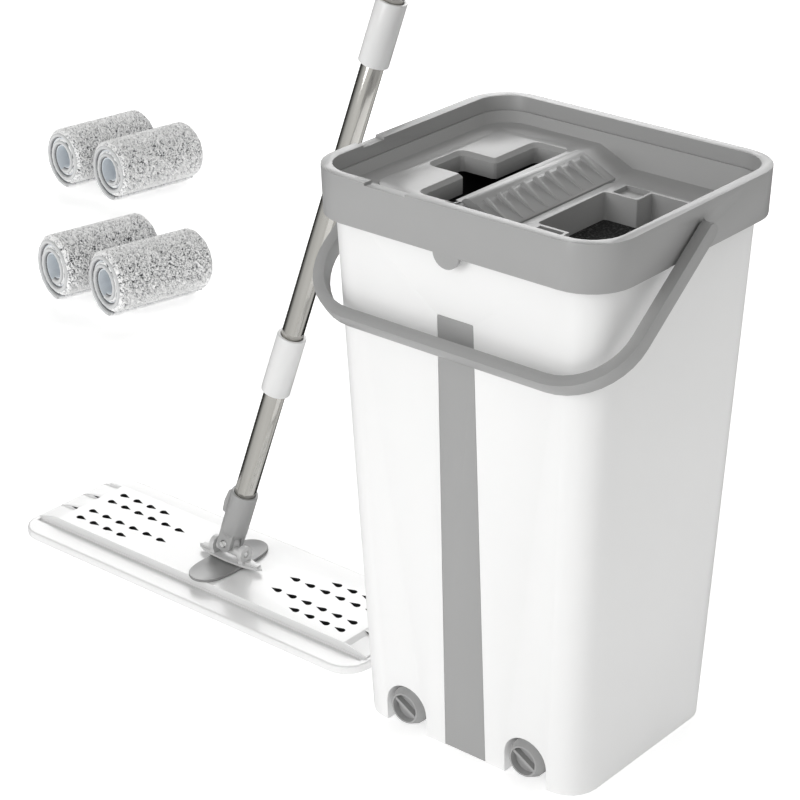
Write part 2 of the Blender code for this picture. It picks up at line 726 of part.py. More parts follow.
def make_socket(axis):
    """Fork on the rivet, widening into a round socket for the pole."""
    top, collar = 0.0450, 0.0110
    socket = cylinder("pole_socket", 0.0101, (0, 0, collar), (0, 0, top), 28)
    join(socket, cylinder("socket_taper", 0.0080, (0, 0, 0.0070), (0, 0, collar + 0.0001), 28, 0.0101))
    join(socket, box("fork", (-0.0064, -0.0079, 0.0), (0.0064, 0.0079, 0.0120)))
    join(socket, cylinder("fork_eye", 0.0065, (0, -0.00791, 0), (0, 0.00791, 0)))
    cut(socket, box("fork_gap", (-0.02, -0.0040, -0.02), (0.02, 0.0040, 0.0066)))
    cut(socket, cylinder("rivet_bore", 0.0021, (0, -0.02, 0), (0, 0.02, 0), 16))
    cut(socket, cylinder("socket_bore", TUBE_RADIUS + GAP, (0, 0, 0.0130), (0, 0, 0.06), 28))
    slit = box("tongue_slit", (0.0052, -0.012, 0.0180), (0.0060, -0.0060, 0.0400))
    slit.data.transform(Matrix.Rotation(math.radians(-60), 4, "Z"))
    finish(cut(socket, slit), grey, axis)

    clip = side_slab(
        "socket_clip",
        rounded([(-0.0104, 0.0210), (-0.0104, 0.0420), (-0.0128, 0.0400), (-0.0142, 0.0300),
                 (-0.0134, 0.0210)], [0, 0, 0.001, 0.003, 0.001], 3),
        -0.0030,
        0.0030,
    )
    finish(clip, grey, axis)

    rivet = cylinder("pivot_rivet", 0.0018, (0, -0.0082, 0), (0, 0.0082, 0), 16)
    for side, name in ((-1, "front"), (1, "back")):
        face, crown = (0, side * 0.0082, 0), (0, side * 0.0094, 0)
        join(rivet, cylinder(f"rivet_head_{name}", 0.0033, face, crown, 16, 0.0022))
    finish(rivet, chrome, axis)


def make_pole(axis):
    names = ("lower", "middle", "upper", "high", "top")
    splits = [0.0134] + [(low + high) / 2 for low, high in SLEEVES] + [GRIP[1] - 0.004]
    for index, name in enumerate(names):
        low, high = splits[index] + GAP, splits[index + 1] - GAP
        piece = tube(f"tube_{name}", TUBE_RADIUS, TUBE_RADIUS - TUBE_WALL, low, high)
        finish(piece, steel, axis)
    for name, (low, high) in zip(names, SLEEVES):
        sleeve = tube(f"connector_{name}", SLEEVE_RADIUS, TUBE_RADIUS + GAP, low, high)
        finish(sleeve, white, axis)
    grip = tube("pole_grip", 0.0130, TUBE_RADIUS + GAP, GRIP[0], GRIP[1])
    finish(grip, grey, axis)
    cap = cylinder("hanging_cap", 0.0130, (0, 0, GRIP[1] + GAP), (0, 0, POLE_TOP), 28, 0.0085)
    eye = POLE_TOP - 0.0100
    cut(cap, cylinder("hanging_hole", 0.0050, (0, -0.03, eye), (0, 0.03, eye), 16))
    finish(cap, grey, axis)


def roll_outline():
    """Spiral strip: outward along the inner face, then back along the outer face."""
    steps = int(ROLL_TURNS * 22)
    inner, outer = [], []
    start = math.radians(-100)
    for step in range(steps + 1):
        turned = ROLL_TURNS * 2 * math.pi * step / steps
        radius = ROLL_CORE + ROLL_PITCH * turned / (2 * math.pi)
        c, s = math.cos(start + turned), math.sin(start + turned)
        inner.append((radius * c, radius * s))
        outer.append(((radius + ROLL_LAYER) * c, (radius + ROLL_LAYER) * s))
    return outer + inner[::-1]


def make_pads(root):
    for pair, centre, turn, stagger in ROLL_PAIRS:
        angle = math.radians(turn)
        along = Vector((-math.sin(angle), math.cos(angle)))
        across = Vector((math.cos(angle), math.sin(angle)))
        for side, name in ((-1, "left"), (1, "right")):
            spot = Vector(centre) + side * (across * ROLL_SPACING + along * stagger) / 2
            pad = side_slab(f"{pair}_{name}", roll_outline(), -ROLL_LENGTH / 2, ROLL_LENGTH / 2)
            lowest = min(vert.co.z for vert in pad.data.vertices)
            pad.location = (spot.x, spot.y, -lowest)
            pad.rotation_euler = (0, 0, angle)
            finish(pad, cloth, root)


def centre_on_floor(root):
    """Moves the whole layout so that the middle of its footprint is the origin."""
    bpy.context.view_layer.update()
    graph = bpy.context.evaluated_depsgraph_get()
    low, high = Vector((9, 9, 9)), Vector((-9, -9, -9))
    for obj in parts.objects:
        if obj.type != "MESH":
            continue
        solid = obj.evaluated_get(graph)
        for vert in solid.data.vertices:
            place = obj.matrix_world @ vert.co
            low = Vector(map(min, low, place))
            high = Vector(map(max, high, place))
    root.location = (-(low.x + high.x) / 2, -(low.y + high.y) / 2, -low.z)


layout = empty("layout", (0, 0, 0))
make_bucket(layout)
make_collar(layout)
make_drains(layout)
make_tray(layout)
make_ramp(layout)
make_wringer_inside(layout)
make_handle(layout)

mop_head = empty("mop_head", PLATE_CENTRE, layout)
make_plate(mop_head)
make_joint(mop_head)
yoke_axis = empty("yoke_axis", (POLE_OFFSET, 0, YOKE_Z), mop_head, (-YOKE_LEAN, 0, 0))
make_yoke(yoke_axis)
pole_axis = empty("pole_axis", (0, 0, PIVOT_RISE), yoke_axis, (0, POLE_LEAN, 0))
make_socket(pole_axis)
make_pole(pole_axis)

make_pads(layout)
centre_on_floor(layout)
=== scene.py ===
import json
import math

import bmesh
import bpy
from mathutils import Matrix, Vector, noise


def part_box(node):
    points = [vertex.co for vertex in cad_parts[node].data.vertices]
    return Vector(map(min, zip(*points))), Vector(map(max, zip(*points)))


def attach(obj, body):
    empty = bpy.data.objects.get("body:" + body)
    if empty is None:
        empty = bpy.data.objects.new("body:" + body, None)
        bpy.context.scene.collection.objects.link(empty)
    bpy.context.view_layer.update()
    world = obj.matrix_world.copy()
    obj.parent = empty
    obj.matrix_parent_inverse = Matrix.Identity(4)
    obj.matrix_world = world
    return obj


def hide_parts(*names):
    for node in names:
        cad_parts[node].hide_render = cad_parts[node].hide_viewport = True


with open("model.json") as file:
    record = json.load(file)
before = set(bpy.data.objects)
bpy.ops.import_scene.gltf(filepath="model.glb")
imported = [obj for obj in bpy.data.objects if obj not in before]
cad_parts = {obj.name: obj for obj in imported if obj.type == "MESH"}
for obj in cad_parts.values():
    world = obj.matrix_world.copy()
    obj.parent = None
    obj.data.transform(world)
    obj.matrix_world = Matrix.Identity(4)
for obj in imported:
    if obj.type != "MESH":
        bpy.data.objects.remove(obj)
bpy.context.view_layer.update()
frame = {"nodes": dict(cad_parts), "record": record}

bodyLow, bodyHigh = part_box("bucket_body")
bucket = Vector(((bodyLow.x + bodyHigh.x) / 2, (bodyLow.y + bodyHigh.y) / 2, 0.0))
bodyOf = {node: body for body, nodes in frame["record"]["behaviour"]["bodies"].items() for node in nodes}


# materials

class Wire:
    def __init__(self, shader, socket):
        self.shader, self.socket = shader, socket

    def maths(self, operation, first, second):
        return self.shader.add("ShaderNodeMath", {"operation": operation}, {0: first, 1: second})

    def __add__(self, other):
        return self.maths("ADD", self, other)

    def __radd__(self, other):
        return self.maths("ADD", other, self)

    def __sub__(self, other):
        return self.maths("SUBTRACT", self, other)

    def __rsub__(self, other):
        return self.maths("SUBTRACT", other, self)

    def __mul__(self, other):
        return self.maths("MULTIPLY", self, other)

    def __rmul__(self, other):
        return self.maths("MULTIPLY", other, self)


class Shader:
    def __init__(self, name, colour, roughness, **constants):
        self.material = bpy.data.materials.new(name)
        self.material.use_nodes = True
        self.tree = self.material.node_tree
        self.surface = self.tree.nodes["Principled BSDF"]
        self.set("Base Color", (*colour, 1.0))
        self.set("Roughness", roughness)
        for socket, value in constants.items():
            self.set(socket.replace("_", " "), value)
        self.place = self.add("ShaderNodeTexCoord", {}, {}, "Object")

    def set(self, socket, value):
        target = self.surface.inputs[socket]
        if isinstance(value, Wire):
            self.tree.links.new(value.socket, target)
        else:
            target.default_value = value

    def add(self, kind, settings, sockets, output=0):
        node = self.tree.nodes.new(kind)
        for key, value in settings.items():
            if key == "stops":
                ramp = node.color_ramp
                while len(ramp.elements) < len(value):
                    ramp.elements.new(0.5)
                for stop, (at, tone) in zip(ramp.elements, value):
                    stop.position = at
                    stop.color = (*tone, 1.0) if isinstance(tone, tuple) else (tone, tone, tone, 1.0)
            else:
                setattr(node, key, value)
        for key, value in sockets.items():
            if isinstance(value, Wire):
                self.tree.links.new(value.socket, node.inputs[key])
            else:
                node.inputs[key].default_value = value
        return Wire(self, node.outputs[output])

    def grain(self, scale, detail=3.0, roughness=0.6, place=None, output="Fac"):
        sockets = {"Vector": place or self.place, "Scale": scale, "Detail": detail, "Roughness": roughness}
        return self.add("ShaderNodeTexNoise", {}, sockets, output)

    def cells(self, scale):
        sockets = {"Vector": self.place, "Scale": scale}
        return self.add("ShaderNodeTexVoronoi", {"feature": "F1"}, sockets, "Distance")

    def turned(self, rotation=(0, 0, 0), scale=(1, 1, 1), location=(0, 0, 0)):
        sockets = {"Vector": self.place, "Rotation": rotation, "Scale": scale, "Location": location}
        return self.add("ShaderNodeMapping", {}, sockets, "Vector")

    def between(self, mask, first, second):
        colours = [tone if isinstance(tone, Wire) else (*tone, 1.0) for tone in (first, second)]
        sockets = {"Factor": mask, 6: colours[0], 7: colours[1]}
        return self.add("ShaderNodeMix", {"data_type": "RGBA"}, sockets, 2)

    def ramp(self, value, stops, output="Color"):
        return self.add("ShaderNodeValToRGB", {"stops": stops}, {"Fac": value}, output)

    def bump(self, height, strength, distance):
        sockets = {"Height": height, "Strength": strength, "Distance": distance}
        self.set("Normal", self.add("ShaderNodeBump", {}, sockets, "Normal"))


def mouldedPlastic(name, colour, roughness, grainScale=900.0, grainDepth=0.00004, strength=0.25, drift=0.03,
                   **constants):
    shader = Shader(name, colour, roughness, **constants)
    fine = shader.grain(grainScale, 2.0)
    broad = shader.grain(14.0, 3.0)
    darker = tuple(channel * (1 - 2 * drift) for channel in colour)
    lighter = tuple(min(channel * (1 + drift), 1.0) for channel in colour)
    shader.set("Base Color", shader.between(broad * 0.7 + fine * 0.3, darker, lighter))
    shader.set("Roughness", roughness - 0.05 + broad * 0.06 + fine * 0.04)
    shader.bump(fine, strength, grainDepth)
    return shader.material


whitePlastic = mouldedPlastic("white_plastic", (0.86, 0.86, 0.86), 0.42, 1100.0, 0.00005, 0.35, 0.012)
greyPlastic = mouldedPlastic("grey_plastic", (0.36, 0.36, 0.36), 0.40, 1000.0, 0.00005, 0.3, 0.03)
palePlastic = mouldedPlastic("pale_grey_plastic", (0.40, 0.40, 0.40), 0.36, 1000.0, 0.00005, 0.35, 0.03)
glossPlastic = mouldedPlastic("gloss_white_plastic", (0.84, 0.84, 0.84), 0.3, 500.0, 0.00002, 0.12, 0.01,
                              Coat_Weight=0.25, Coat_Roughness=0.1)
jointPlastic = mouldedPlastic("joint_plastic", (0.62, 0.62, 0.62), 0.3, 900.0, 0.00004, 0.25, 0.03)
sleevePlastic = mouldedPlastic("sleeve_plastic", (0.75, 0.75, 0.75), 0.3, 900.0, 0.00004, 0.25, 0.02)
# painted shade: the petals are coloured dark grey to stand in for the shade on their faces
petalPaintedShade = mouldedPlastic("petal_painted_shade", (0.27, 0.27, 0.27), 0.36, 900.0, 0.00004, 0.25, 0.03)
# painted shade: this near-black stands in for the shade down the wringer slot and inside the mop plate's
# drain holes
shadeBlack = mouldedPlastic("dark_plastic", (0.008, 0.008, 0.008), 0.75, 900.0, 0.00004, 0.3, 0.05)
softRubber = mouldedPlastic("rubber", (0.03, 0.03, 0.03), 0.8, 1400.0, 0.00008, 0.5, 0.1)


def steelFinish(name, lean, colour, roughness):
    shader = Shader(name, colour, roughness, Metallic=1.0)
    along = shader.turned(lean, (1.0, 1.0, 0.02))
    lines = shader.grain(2600.0, 4.0, 0.7, along)
    smears = shader.grain(55.0, 3.0, 0.6, shader.turned(lean, (1.0, 1.0, 0.25)))
    shader.set("Roughness", roughness - 0.03 + lines * 0.05 + smears * 0.06)
    shader.set("Base Color", shader.between(smears, tuple(c * 0.93 for c in colour), colour))
    shader.bump(lines, 0.12, 0.00001)
    return shader.material


polishedSteel = steelFinish("polished_steel", (0.0, math.radians(-16.2), 0.0), (0.76, 0.745, 0.71), 0.12)
platedSteel = steelFinish("chrome", (0.0, 0.0, 0.0), (0.86, 0.86, 0.86), 0.06)


def foamFinish():
    shader = Shader("filter_foam", (0.02, 0.02, 0.02), 0.95)
    cells = shader.cells(620.0)
    specks = shader.grain(500.0, 4.0, 0.75)
    pores = specks * 0.6 + cells * 0.55
    shader.set("Base Color", shader.ramp(pores, [(0.40, 0.006), (0.62, 0.02), (0.85, 0.10)]))
    shader.bump(cells + specks * 0.6, 0.9, 0.0008)
    return shader.material


def hookFinish():
    shader = Shader("hook_tape", (0.02, 0.02, 0.02), 0.9)
    cells = shader.cells(900.0)
    shader.set("Base Color", shader.ramp(cells, [(0.1, 0.05), (0.6, 0.008)]))
    shader.bump(cells, 0.8, 0.0006)
    return shader.material


filterFoam = foamFinish()
hookTape = hookFinish()


# tools

def unselect():
    bpy.ops.object.select_all(action="DESELECT")


def pick(piece):
    unselect()
    piece.select_set(True)
    bpy.context.view_layer.objects.active = piece


def applyModifiers(piece):
    pick(piece)
    for modifier in list(piece.modifiers):
        bpy.ops.object.modifier_apply(modifier=modifier.name)


def dress(piece, material, body):
    piece.data.materials.clear()
    piece.data.materials.append(material)
    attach(piece, body)
    return piece


copying = {"weld": 0.000004, "flatWithin": 0.4}


def nodeCopy(node, name, flatten=True):
    mesh = frame["nodes"][node].data.copy()
    mesh.name = name
    piece = bpy.data.objects.new(name, mesh)
    bpy.context.collection.objects.link(piece)
    pick(piece)
    bpy.ops.object.mode_set(mode="EDIT")
    bpy.ops.mesh.select_all(action="SELECT")
    bpy.ops.mesh.remove_doubles(threshold=copying["weld"])
    if flatten:
        bpy.ops.mesh.dissolve_limited(angle_limit=math.radians(copying["flatWithin"]))
    bpy.ops.object.mode_set(mode="OBJECT")
    return piece


def softened(piece, width, segments=2, corner=30.0):
    pick(piece)
    bpy.ops.object.shade_smooth()
    edges = piece.modifiers.new("edges", "BEVEL")
    edges.width = width
    edges.segments = segments
    edges.angle_limit = math.radians(corner)
    edges.harden_normals = True
    applyModifiers(piece)
    return piece


def refined(node, name, material, width, flatten=True):
    piece = softened(nodeCopy(node, name, flatten), width)
    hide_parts(node)
    return dress(piece, material, bodyOf[node])


print("frame loaded, materials made")


# moulded and turned pieces: node, piece, material, slot, edge radius
mouldings = [
    ("bucket_body", "bucketShell", whitePlastic, "white_plastic", 0.0009),
    ("front_strip", "frontStrip", greyPlastic, "grey_plastic", 0.0003),
    ("chamber_divider", "chamberDivider", whitePlastic, "white_plastic", 0.0003),
    ("rim_collar", "rimCollar", greyPlastic, "grey_plastic", 0.0011),
    ("drain_seat_left", "drainSeatLeft", greyPlastic, "grey_plastic", 0.0003),
    ("drain_seat_right", "drainSeatRight", greyPlastic, "grey_plastic", 0.0003),
    ("drain_seal_left", "drainSealLeft", softRubber, "rubber", 0.0003),
    ("drain_seal_right", "drainSealRight", softRubber, "rubber", 0.0003),
    ("drain_knob_left", "drainKnobLeft", greyPlastic, "grey_plastic", 0.0006),
    ("drain_knob_right", "drainKnobRight", greyPlastic, "grey_plastic", 0.0006),
    ("wringer_tray", "wringerTray", palePlastic, "pale_grey_plastic", 0.0005),
    ("wringing_ramp", "wringingRamp", palePlastic, "pale_grey_plastic", 0.0004),
    # painted shade: the chute is near-black so the view down the wringer slot reads as deep shade
    ("wringer_chute", "wringerChute", shadeBlack, "dark_plastic", 0.0003),
    ("scraper_blade_left", "scraperBladeLeft", softRubber, "rubber", 0.0002),
    ("scraper_blade_right", "scraperBladeRight", softRubber, "rubber", 0.0002),
    ("filter_pad", "filterPad", filterFoam, "filter_foam", 0.0006),
    ("bail_handle", "carryHandle", greyPlastic, "grey_plastic", 0.0010),
    ("handle_pin_left", "handlePinLeft", greyPlastic, "grey_plastic", 0.0003),
    ("handle_pin_right", "handlePinRight", greyPlastic, "grey_plastic", 0.0003),
    ("plate_base", "plateBase", glossPlastic, "gloss_white_plastic", 0.0003),
    ("plate_deck", "plateDeck", glossPlastic, "gloss_white_plastic", 0.0003),
    ("hook_strip_left", "hookStripLeft", hookTape, "hook_tape", 0.0002),
    ("hook_strip_right", "hookStripRight", hookTape, "hook_tape", 0.0002),
    ("joint_base", "jointBase", jointPlastic, "pale_grey_plastic", 0.0004),
    ("yoke_pin", "yokePin", platedSteel, "chrome", 0.0003),
    ("yoke", "crossBlock", jointPlastic, "pale_grey_plastic", 0.0004),
    ("pole_socket", "poleSocket", greyPlastic, "grey_plastic", 0.0005),
    ("socket_clip", "socketClip", greyPlastic, "grey_plastic", 0.0003),
    ("pivot_rivet", "pivotRivet", platedSteel, "chrome", 0.0004),
    ("tube_lower", "tubeLower", polishedSteel, "polished_steel", 0.0002),
    ("tube_middle", "tubeMiddle", polishedSteel, "polished_steel", 0.0002),
    ("tube_upper", "tubeUpper", polishedSteel, "polished_steel", 0.0002),
    ("tube_high", "tubeHigh", polishedSteel, "polished_steel", 0.0002),
    ("tube_top", "tubeTop", polishedSteel, "polished_steel", 0.0002),
    ("connector_lower", "connectorLower", sleevePlastic, "white_plastic", 0.0005),
    ("connector_middle", "connectorMiddle", sleevePlastic, "white_plastic", 0.0005),
    ("connector_upper", "connectorUpper", sleevePlastic, "white_plastic", 0.0005),
    ("connector_high", "connectorHigh", sleevePlastic, "white_plastic", 0.0005),
    ("pole_grip", "poleGrip", greyPlastic, "grey_plastic", 0.0010),
    ("hanging_cap", "hangingCap", greyPlastic, "grey_plastic", 0.0010),
]

# pieces with pierced flat faces keep their triangles and break their shading at this angle
crisp = {"wringer_tray": 24.0, "plate_deck": 12.0, "plate_base": 12.0}
for node, name, material, slot, width in mouldings:
    piece = refined(node, name, material, width, flatten=node not in crisp)
    if node in crisp:
        pick(piece)
        bpy.ops.mesh.customdata_custom_splitnormals_clear()
        bpy.ops.object.shade_smooth_by_angle(angle=math.radians(crisp[node]))
print("mouldings dressed")

# drain holes in the mop plate: the hole walls and a sheet under them are painted near-black as painted shade
# in the holes

holes = {"reach": 0.1575, "across": 0.0300, "shadeSheet": 0.0002, "below": 0.00015, "steep": 0.5}
deck = bpy.data.objects["plateDeck"]
low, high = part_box("plate_deck")
middle = (low + high) / 2
deck.data.materials.append(shadeBlack)
# painted shade: steep faces inside the hole field take the near-black material
for face in deck.data.polygons:
    away = face.center - middle
    inside = abs(away.x) < holes["reach"] and abs(away.y) < holes["across"]
    if inside and abs(face.normal.z) < holes["steep"]:
        face.material_index = 1
unselect()
bpy.ops.mesh.primitive_cube_add(size=1.0, location=(middle.x, middle.y, low.z - holes["below"]))
shadeSheet = bpy.context.active_object
shadeSheet.name = "holeShadeSheet"
shadeSheet.scale = (2 * holes["reach"], 2 * holes["across"], holes["shadeSheet"])
pick(shadeSheet)
bpy.ops.object.transform_apply(location=True, rotation=True, scale=True)
dress(shadeSheet, shadeBlack, bodyOf["plate_deck"])

# broad petals under the mop joint; their dark grey is painted shade on pale petals

petal = {
    "long": 0.0372,
    "wide": 0.0152,
    "thick": 0.0022,
    "shift": -0.0022,
    "sides": 72,
    "spoon": 0.45,
    "rim": 0.0006,
    "dishSlope": 0.0025,
    "dish": 0.0009,
    "edge": 0.0003,
    "corner": 20.0,
}
low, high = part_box("joint_leaf")
middle = (low + high) / 2
unselect()
bpy.ops.mesh.primitive_cylinder_add(vertices=petal["sides"], radius=1.0, depth=petal["thick"],
                                    location=(middle.x, middle.y + petal["shift"], middle.z))
leaf = bpy.context.active_object
leaf.name = "jointPetals"
leaf.scale = (petal["wide"], petal["long"], 1.0)
pick(leaf)
bpy.ops.object.transform_apply(location=True, rotation=True, scale=True)
for vert in leaf.data.vertices:
    out = (vert.co.y - middle.y - petal["shift"]) / petal["long"]
    vert.co.x = middle.x + (vert.co.x - middle.x) * (1 + petal["spoon"] * out * out)
bpy.ops.object.mode_set(mode="EDIT")
bpy.ops.mesh.select_all(action="DESELECT")
shape = bmesh.from_edit_mesh(leaf.data)
for face in shape.faces:
    face.select_set(face.normal.z > 0.9)  # the top alone
bmesh.update_edit_mesh(leaf.data)
bpy.ops.mesh.inset(thickness=petal["rim"])
bpy.ops.mesh.inset(thickness=petal["dishSlope"], depth=-petal["dish"])
bpy.ops.object.mode_set(mode="OBJECT")
softened(leaf, petal["edge"], corner=petal["corner"])
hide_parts("joint_leaf")
dress(leaf, petalPaintedShade, bodyOf["joint_leaf"])
print("mop plate and petals dressed")

# rolled pads

roll = {
    "turns": 2.05,
    "core": 0.0090,
    "pitch": 0.0078,
    "start": -100.0,
    "length": 0.1040,
    "backing": 0.0015,
    "pile": 0.0060,
    "fuzz": 0.0034,
    "hem": 0.0018,
    "setBack": 0.0022,
    "roundEnd": 0.004,
    "thinEnd": 0.3,
    "tailTaper": 0.035,
    "startTaper": 0.02,
    "innerSteps": 46,
    "outerSteps": 300,
    "outerTurns": 1.05,
    "liningSteps": 160,
    "liningGap": 0.0001,
    "liningInset": 0.001,
    "offFloor": 0.0002,
    "stepAlong": 0.00068,
}
# clumps of pile: scales are per millimetre of cloth
strands = {
    "seed": 7,
    "swirlScale": 0.4,
    "swirl": 1.4,
    "strandScale": 0.34,
    "strand": 0.55,
    "curlScale": 0.86,
    "curlSwirl": 1.3,
    "curl": 3.4,
    "base": 0.11,
    "level": 0.3,
}
rope = {"sides": 10, "steps": 170, "height": 0.42, "ripple": 0.08, "rippleRate": 97.0}


def pileFinish():
    shader = Shader("microfibre", (0.6, 0.6, 0.62), 0.95, Sheen_Weight=0.2)
    height = shader.add("ShaderNodeAttribute", {"attribute_name": "pileHeight"}, {}, "Fac")
    fine = shader.grain(1100.0, 3.0, 0.7)
    # painted shade: the colour runs from near black in the low pile between clumps to white on the raised
    # clumps
    shader.set("Base Color", shader.ramp(height * 0.9 + fine * 0.3 - 0.05, [
        (0.14, (0.03, 0.031, 0.035)), (0.34, (0.17, 0.173, 0.18)), (0.52, (0.66, 0.665, 0.68)),
        (0.82, (0.95, 0.95, 0.95)),
    ]))
    shader.bump(fine, 0.5, 0.0003)
    return shader.material


def feltFinish(name, low, high):
    shader = Shader(name, high, 0.9, Sheen_Weight=0.2)
    weave = shader.grain(1500.0, 2.0, 0.6)
    shader.set("Base Color", shader.between(weave, low, high))
    shader.bump(weave, 0.5, 0.0002)
    return shader.material


microfibre = pileFinish()
hemFelt = feltFinish("pad_hem", (0.50, 0.505, 0.51), (0.74, 0.745, 0.75))
liningFelt = feltFinish("pad_lining", (0.74, 0.79, 0.84), (0.84, 0.88, 0.92))


def spiralPoint(travelled, out):
    radius = roll["core"] + roll["pitch"] * travelled + out
    angle = math.radians(roll["start"]) + travelled * 2 * math.pi
    return radius * math.cos(angle), radius * math.sin(angle)


def newPiece(name, shape):
    bmesh.ops.recalc_face_normals(shape, faces=shape.faces)
    mesh = bpy.data.meshes.new(name)
    shape.to_mesh(mesh)
    shape.free()
    piece = bpy.data.objects.new(name, mesh)
    bpy.context.collection.objects.link(piece)
    return piece


def rolledStrip(name, inner, outer, steps, along, half, rough=None):
    shape = bmesh.new()
    rows, heights = [], []
    for share in steps:
        travelled = roll["turns"] * share
        ending = max(min(1.0, (1.0 - share) / roll["tailTaper"], share / roll["startTaper"]), 0.0)
        thick = (outer - inner) * (roll["thinEnd"] + (1 - roll["thinEnd"]) * math.sqrt(ending))
        low = spiralPoint(travelled, inner)
        row = [shape.verts.new((low[0], -half, low[1])), shape.verts.new((low[0], half, low[1]))]
        heights += [strands["level"], strands["level"]]
        for j in range(along + 1):
            y = half * (2 * j / along - 1)
            edge = 1 - min(1.0, (half - abs(y)) / roll["roundEnd"])
            lift, tone = rough(travelled, y) if rough else (0.0, 0.5)
            high = spiralPoint(travelled, inner + thick * (1 - 0.5 * edge * edge) + lift)
            row.append(shape.verts.new((high[0], y, high[1])))
            heights.append(tone)
        rows.append(row)
    for one, two in zip(rows, rows[1:]):
        for j in range(2, along + 2):
            shape.faces.new((one[j], two[j], two[j + 1], one[j + 1]))
        shape.faces.new((one[0], one[1], two[1], two[0]))
        shape.faces.new((one[0], two[0], two[2], one[2]))
        shape.faces.new((one[1], one[-1], two[-1], two[1]))
    for row in (rows[0], rows[-1]):
        shape.faces.new([row[0], *row[2:], row[1]])
    piece = newPiece(name, shape)
    layer = piece.data.attributes.new("pileHeight", "FLOAT", "POINT")
    layer.data.foreach_set("value", heights)
    return piece


def pileRough(seed):
    shift = Vector((37.0, 19.0, 53.0)) * seed

    def lift(travelled, y):
        around = travelled * 2 * math.pi * (2 * roll["core"] + roll["pitch"] * travelled) / 2
        spot = Vector((around, y, 0.0)) * 1000 + shift
        warp = noise.noise_vector(spot * strands["swirlScale"]) * strands["swirl"]
        strand = noise.noise((spot + warp) * strands["strandScale"])
        curl = abs(noise.noise((spot + warp * strands["curlSwirl"]) * strands["curlScale"]))
        tone = strands["base"] + strands["strand"] * strand + strands["curl"] * curl
        tone = min(max(tone, 0.0), 1.0)
        return roll["fuzz"] * (tone - strands["level"]), tone

    return lift


def hemRope(name):
    shape = bmesh.new()
    sides, stepCount = rope["sides"], rope["steps"]
    middle = roll["backing"] + roll["pile"] * rope["height"]
    for end in (-1, 1):
        y = end * (roll["length"] / 2 - roll["hem"])
        rings = []
        for i in range(stepCount + 1):
            travelled = roll["turns"] * i / stepCount
            x, z = spiralPoint(travelled, middle)
            outward = Vector((x, 0, z)).normalized()
            swell = roll["hem"] * (1.0 + rope["ripple"] * math.sin(travelled * rope["rippleRate"]))
            ring = []
            for k in range(sides):
                angle = 2 * math.pi * k / sides
                around = outward * math.cos(angle) + Vector((0, math.sin(angle), 0))
                ring.append(shape.verts.new(Vector((x, y, z)) + around * swell))
            rings.append(ring)
        for one, two in zip(rings, rings[1:]):
            for k in range(sides):
                shape.faces.new((one[k], one[(k + 1) % sides], two[(k + 1) % sides], two[k]))
        shape.faces.new(rings[0])
        shape.faces.new(list(reversed(rings[-1])))
    return newPiece(name, shape)


noise.seed_set(strands["seed"])
padTurns = {"pad_front": -13.2, "pad_back": -9.8}
half = roll["length"] / 2
along = int(roll["length"] / roll["stepAlong"])
wrap = roll["outerTurns"] / roll["turns"]
fineSteps = [(1 - wrap) * i / roll["innerSteps"] for i in range(roll["innerSteps"])]
fineSteps += [1 - wrap + wrap * i / roll["outerSteps"] for i in range(roll["outerSteps"] + 1)]
plainSteps = [i / roll["liningSteps"] for i in range(roll["liningSteps"] + 1)]
for seed, node in enumerate(("pad_front_left", "pad_front_right", "pad_back_left", "pad_back_right")):
    words = node.split("_")
    suffix = words[1].capitalize() + words[2].capitalize()
    pile = rolledStrip(f"padPile{suffix}", roll["backing"], roll["backing"] + roll["pile"], fineSteps, along,
                       half - roll["setBack"], pileRough(seed + 1))
    lining = rolledStrip(f"padLining{suffix}", 0.0, roll["backing"] - roll["liningGap"], plainSteps, 4,
                         half - roll["setBack"] - roll["liningInset"])
    hem = hemRope(f"padHem{suffix}")
    low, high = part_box(node)
    centre = (low + high) / 2
    turn = Matrix.Rotation(math.radians(padTurns[f"{words[0]}_{words[1]}"]), 4, "Z")
    lowest = min(vert.co.z for vert in pile.data.vertices)
    liningPoints = lining.data.vertices
    middle = turn @ Vector((sum(vert.co.x for vert in liningPoints) / len(liningPoints), 0.0, 0.0))
    shift = Matrix.Translation((centre.x - middle.x, centre.y - middle.y, roll["offFloor"] - lowest))
    for piece, material, smooth in ((pile, microfibre, 60), (lining, liningFelt, 40), (hem, hemFelt, 50)):
        piece.data.transform(shift @ turn)
        dress(piece, material, node)
        pick(piece)
        bpy.ops.object.shade_smooth_by_angle(angle=math.radians(smooth))
    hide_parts(node)
print("pads rolled")

# camera, light and floor

shot = {
    "place": Vector((0.86766, -1.16995, 0.91869)),
    "right": Vector((0.76577, 0.64309, -0.00486)),
    "up": Vector((-0.27125, 0.32982, 0.90424)),
    "back": Vector((0.58311, -0.69112, 0.42700)),
    "focal": 112.17,
    "sensor": 36.0,
    "near": 0.05,
    "far": 50.0,
}
lens = bpy.data.cameras.new("camera")
lens.lens = shot["focal"]
lens.sensor_width = shot["sensor"]
lens.clip_start = shot["near"]
lens.clip_end = shot["far"]
camera = bpy.data.objects.new("camera", lens)
axes = Matrix((shot["right"], shot["up"], shot["back"])).transposed()
camera.matrix_world = Matrix.Translation(bucket + shot["place"]) @ axes.to_4x4()
bpy.context.scene.collection.objects.link(camera)
bpy.context.scene.camera = camera


# light: place beside the bucket, width, power
lights = {
    "keyLight": ((-0.9, -3.2, 1.3), 1.8, 40.0),
    "sideLight": ((3.0, 0.4, 0.9), 1.6, 0.6),
    "backLight": ((-2.5, 3.0, 2.1), 3.6, 120.0),
}
studio = {
    "aim": Vector((-0.15, 0.0, 0.2)),
    "ambient": 0.50,
    "meanBand": 0.62,
    "warmth": 0.985,
    "backdrop": 1.0,
    "floorGlow": 0.46,
    "floorWhite": 0.93,
    "floorWidth": 30.0,
    "floorDrop": 0.0004,
}


